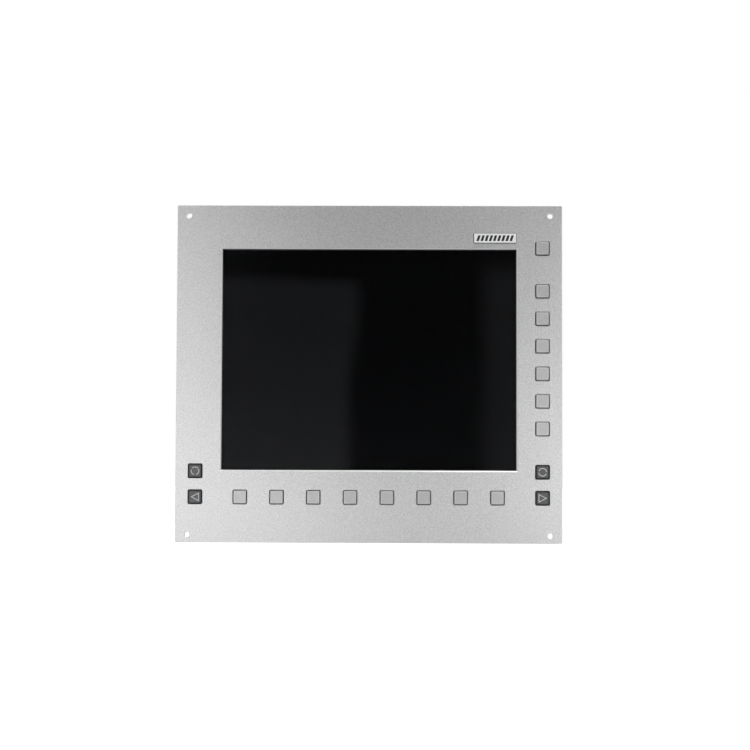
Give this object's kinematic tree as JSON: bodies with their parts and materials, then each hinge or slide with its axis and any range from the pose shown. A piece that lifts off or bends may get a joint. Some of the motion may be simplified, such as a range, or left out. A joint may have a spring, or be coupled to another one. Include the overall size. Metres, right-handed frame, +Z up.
{
  "type": "machine control display panel",
  "caption": "Flat operator panel with a wide front plate, a 4:3 display behind touch glass, square keys along its foot and sides, and a stepped sheet-metal rear cover.",
  "frame": {"origin": "centre of the four mounting holes, on the front plate's rear face, which seats on the cabinet", "axes": "+X to the operator's right, +Y from the front into the cabinet, +Z up"},
  "size_m": [0.4, 0.0681, 0.35],
  "materials": {
    "plate_aluminium": "fine bead-blasted and clear anodised",
    "badge_metal": "bright satin with dark enamel in the engraving",
    "key_grey": "satin moulded",
    "key_dark": "satin moulded with light filled symbols",
    "touch_glass": "polished",
    "display_black": "dark polariser film",
    "display_steel": "pressed bright steel",
    "seal_foam": "closed-cell foam",
    "mat_silicone": "moulded silicone",
    "board_green": "solder mask",
    "zinc_sheet": "zinc-plated sheet",
    "cover_zinc": "galvanised sheet",
    "screw_steel": "zinc plated",
    "pillar_steel": "nickel plated",
    "post_brass": "turned",
    "spacer_nylon": "natural nylon",
    "chip_black": "moulded epoxy",
    "component_black": "sleeved",
    "heatsink_black": "black anodised",
    "lead_film": "amber flexible film",
    "lead_grey": "flat ribbon",
    "connector_metal": "nickel-plated shell",
    "header_green": "moulded"
  },
  "bodies": {
    "panel": {"front_plate": "plate_aluminium", "badge_plate": "badge_metal", "window_seal": "seal_foam", "touch_glass": "touch_glass", "touch_tail": "lead_film", "lcd_pad": "seal_foam", "lcd_bezel": "display_steel", "lcd_cell": "display_black", "backlight_unit": "display_steel", "lcd_bracket_left": "zinc_sheet", "lcd_bracket_right": "zinc_sheet", "display_side_screws": "screw_steel", "key_mat_bottom": "mat_silicone", "key_mat_right": "mat_silicone", "key_mat_left": "mat_silicone", "key_board_bottom": "board_green", "key_board_right": "board_green", "key_board_left": "board_green", "plate_studs": "screw_steel", "stud_nuts": "screw_steel", "spacers": "spacer_nylon", "chassis_plate": "zinc_sheet", "board_posts": "post_brass", "m3_screws": "screw_steel", "video_board": "board_green", "power_board": "board_green", "board_chips": "chip_black", "board_heatsink": "heatsink_black", "power_components": "component_black", "display_lead": "lead_film", "backlight_lead": "lead_grey", "keypad_leads": "lead_grey", "video_connector": "connector_metal", "serial_connector": "connector_metal", "usb_connector": "connector_metal", "power_connector": "header_green", "rear_cover": "cover_zinc", "cover_pillars": "pillar_steel", "cover_screws": "screw_steel", "earth_stud": "post_brass", "panel_gasket": "seal_foam"},
    "soft_key_1": {"soft_key_1": "key_grey"},
    "soft_key_2": {"soft_key_2": "key_grey"},
    "soft_key_3": {"soft_key_3": "key_grey"},
    "soft_key_4": {"soft_key_4": "key_grey"},
    "soft_key_5": {"soft_key_5": "key_grey"},
    "soft_key_6": {"soft_key_6": "key_grey"},
    "soft_key_7": {"soft_key_7": "key_grey"},
    "soft_key_8": {"soft_key_8": "key_grey"},
    "side_key_1": {"side_key_1": "key_grey"},
    "side_key_2": {"side_key_2": "key_grey"},
    "side_key_3": {"side_key_3": "key_grey"},
    "side_key_4": {"side_key_4": "key_grey"},
    "side_key_5": {"side_key_5": "key_grey"},
    "side_key_6": {"side_key_6": "key_grey"},
    "top_key": {"top_key": "key_grey"},
    "screen_key_left": {"screen_key_left": "key_dark"},
    "screen_key_right": {"screen_key_right": "key_dark"},
    "page_key_left": {"page_key_left": "key_dark"},
    "page_key_right": {"page_key_right": "key_dark"}
  },
  "joints": [
    {"name": "soft_key_1_press", "type": "slide", "parent": "panel", "child": "soft_key_1", "axis": [0, 1, 0], "range_m": [0, 0.001], "stiffness_N_per_m": 800, "springref_m": -0.002, "deforming": ["key_mat_bottom"]},
    {"name": "soft_key_2_press", "type": "slide", "parent": "panel", "child": "soft_key_2", "axis": [0, 1, 0], "range_m": [0, 0.001], "stiffness_N_per_m": 800, "springref_m": -0.002, "deforming": ["key_mat_bottom"]},
    {"name": "soft_key_3_press", "type": "slide", "parent": "panel", "child": "soft_key_3", "axis": [0, 1, 0], "range_m": [0, 0.001], "stiffness_N_per_m": 800, "springref_m": -0.002, "deforming": ["key_mat_bottom"]},
    {"name": "soft_key_4_press", "type": "slide", "parent": "panel", "child": "soft_key_4", "axis": [0, 1, 0], "range_m": [0, 0.001], "stiffness_N_per_m": 800, "springref_m": -0.002, "deforming": ["key_mat_bottom"]},
    {"name": "soft_key_5_press", "type": "slide", "parent": "panel", "child": "soft_key_5", "axis": [0, 1, 0], "range_m": [0, 0.001], "stiffness_N_per_m": 800, "springref_m": -0.002, "deforming": ["key_mat_bottom"]},
    {"name": "soft_key_6_press", "type": "slide", "parent": "panel", "child": "soft_key_6", "axis": [0, 1, 0], "range_m": [0, 0.001], "stiffness_N_per_m": 800, "springref_m": -0.002, "deforming": ["key_mat_bottom"]},
    {"name": "soft_key_7_press", "type": "slide", "parent": "panel", "child": "soft_key_7", "axis": [0, 1, 0], "range_m": [0, 0.001], "stiffness_N_per_m": 800, "springref_m": -0.002, "deforming": ["key_mat_bottom"]},
    {"name": "soft_key_8_press", "type": "slide", "parent": "panel", "child": "soft_key_8", "axis": [0, 1, 0], "range_m": [0, 0.001], "stiffness_N_per_m": 800, "springref_m": -0.002, "deforming": ["key_mat_bottom"]},
    {"name": "side_key_1_press", "type": "slide", "parent": "panel", "child": "side_key_1", "axis": [0, 1, 0], "range_m": [0, 0.001], "stiffness_N_per_m": 800, "springref_m": -0.002, "deforming": ["key_mat_right"]},
    {"name": "side_key_2_press", "type": "slide", "parent": "panel", "child": "side_key_2", "axis": [0, 1, 0], "range_m": [0, 0.001], "stiffness_N_per_m": 800, "springref_m": -0.002, "deforming": ["key_mat_right"]},
    {"name": "side_key_3_press", "type": "slide", "parent": "panel", "child": "side_key_3", "axis": [0, 1, 0], "range_m": [0, 0.001], "stiffness_N_per_m": 800, "springref_m": -0.002, "deforming": ["key_mat_right"]},
    {"name": "side_key_4_press", "type": "slide", "parent": "panel", "child": "side_key_4", "axis": [0, 1, 0], "range_m": [0, 0.001], "stiffness_N_per_m": 800, "springref_m": -0.002, "deforming": ["key_mat_right"]},
    {"name": "side_key_5_press", "type": "slide", "parent": "panel", "child": "side_key_5", "axis": [0, 1, 0], "range_m": [0, 0.001], "stiffness_N_per_m": 800, "springref_m": -0.002, "deforming": ["key_mat_right"]},
    {"name": "side_key_6_press", "type": "slide", "parent": "panel", "child": "side_key_6", "axis": [0, 1, 0], "range_m": [0, 0.001], "stiffness_N_per_m": 800, "springref_m": -0.002, "deforming": ["key_mat_right"]},
    {"name": "top_key_press", "type": "slide", "parent": "panel", "child": "top_key", "axis": [0, 1, 0], "range_m": [0, 0.001], "stiffness_N_per_m": 800, "springref_m": -0.002, "deforming": ["key_mat_right"]},
    {"name": "screen_key_left_press", "type": "slide", "parent": "panel", "child": "screen_key_left", "axis": [0, 1, 0], "range_m": [0, 0.001], "stiffness_N_per_m": 800, "springref_m": -0.002, "deforming": ["key_mat_left"]},
    {"name": "screen_key_right_press", "type": "slide", "parent": "panel", "child": "screen_key_right", "axis": [0, 1, 0], "range_m": [0, 0.001], "stiffness_N_per_m": 800, "springref_m": -0.002, "deforming": ["key_mat_right"]},
    {"name": "page_key_left_press", "type": "slide", "parent": "panel", "child": "page_key_left", "axis": [0, 1, 0], "range_m": [0, 0.001], "stiffness_N_per_m": 800, "springref_m": -0.002, "deforming": ["key_mat_left"]},
    {"name": "page_key_right_press", "type": "slide", "parent": "panel", "child": "page_key_right", "axis": [0, 1, 0], "range_m": [0, 0.001], "stiffness_N_per_m": 800, "springref_m": -0.002, "deforming": ["key_mat_right"]}
  ]
}
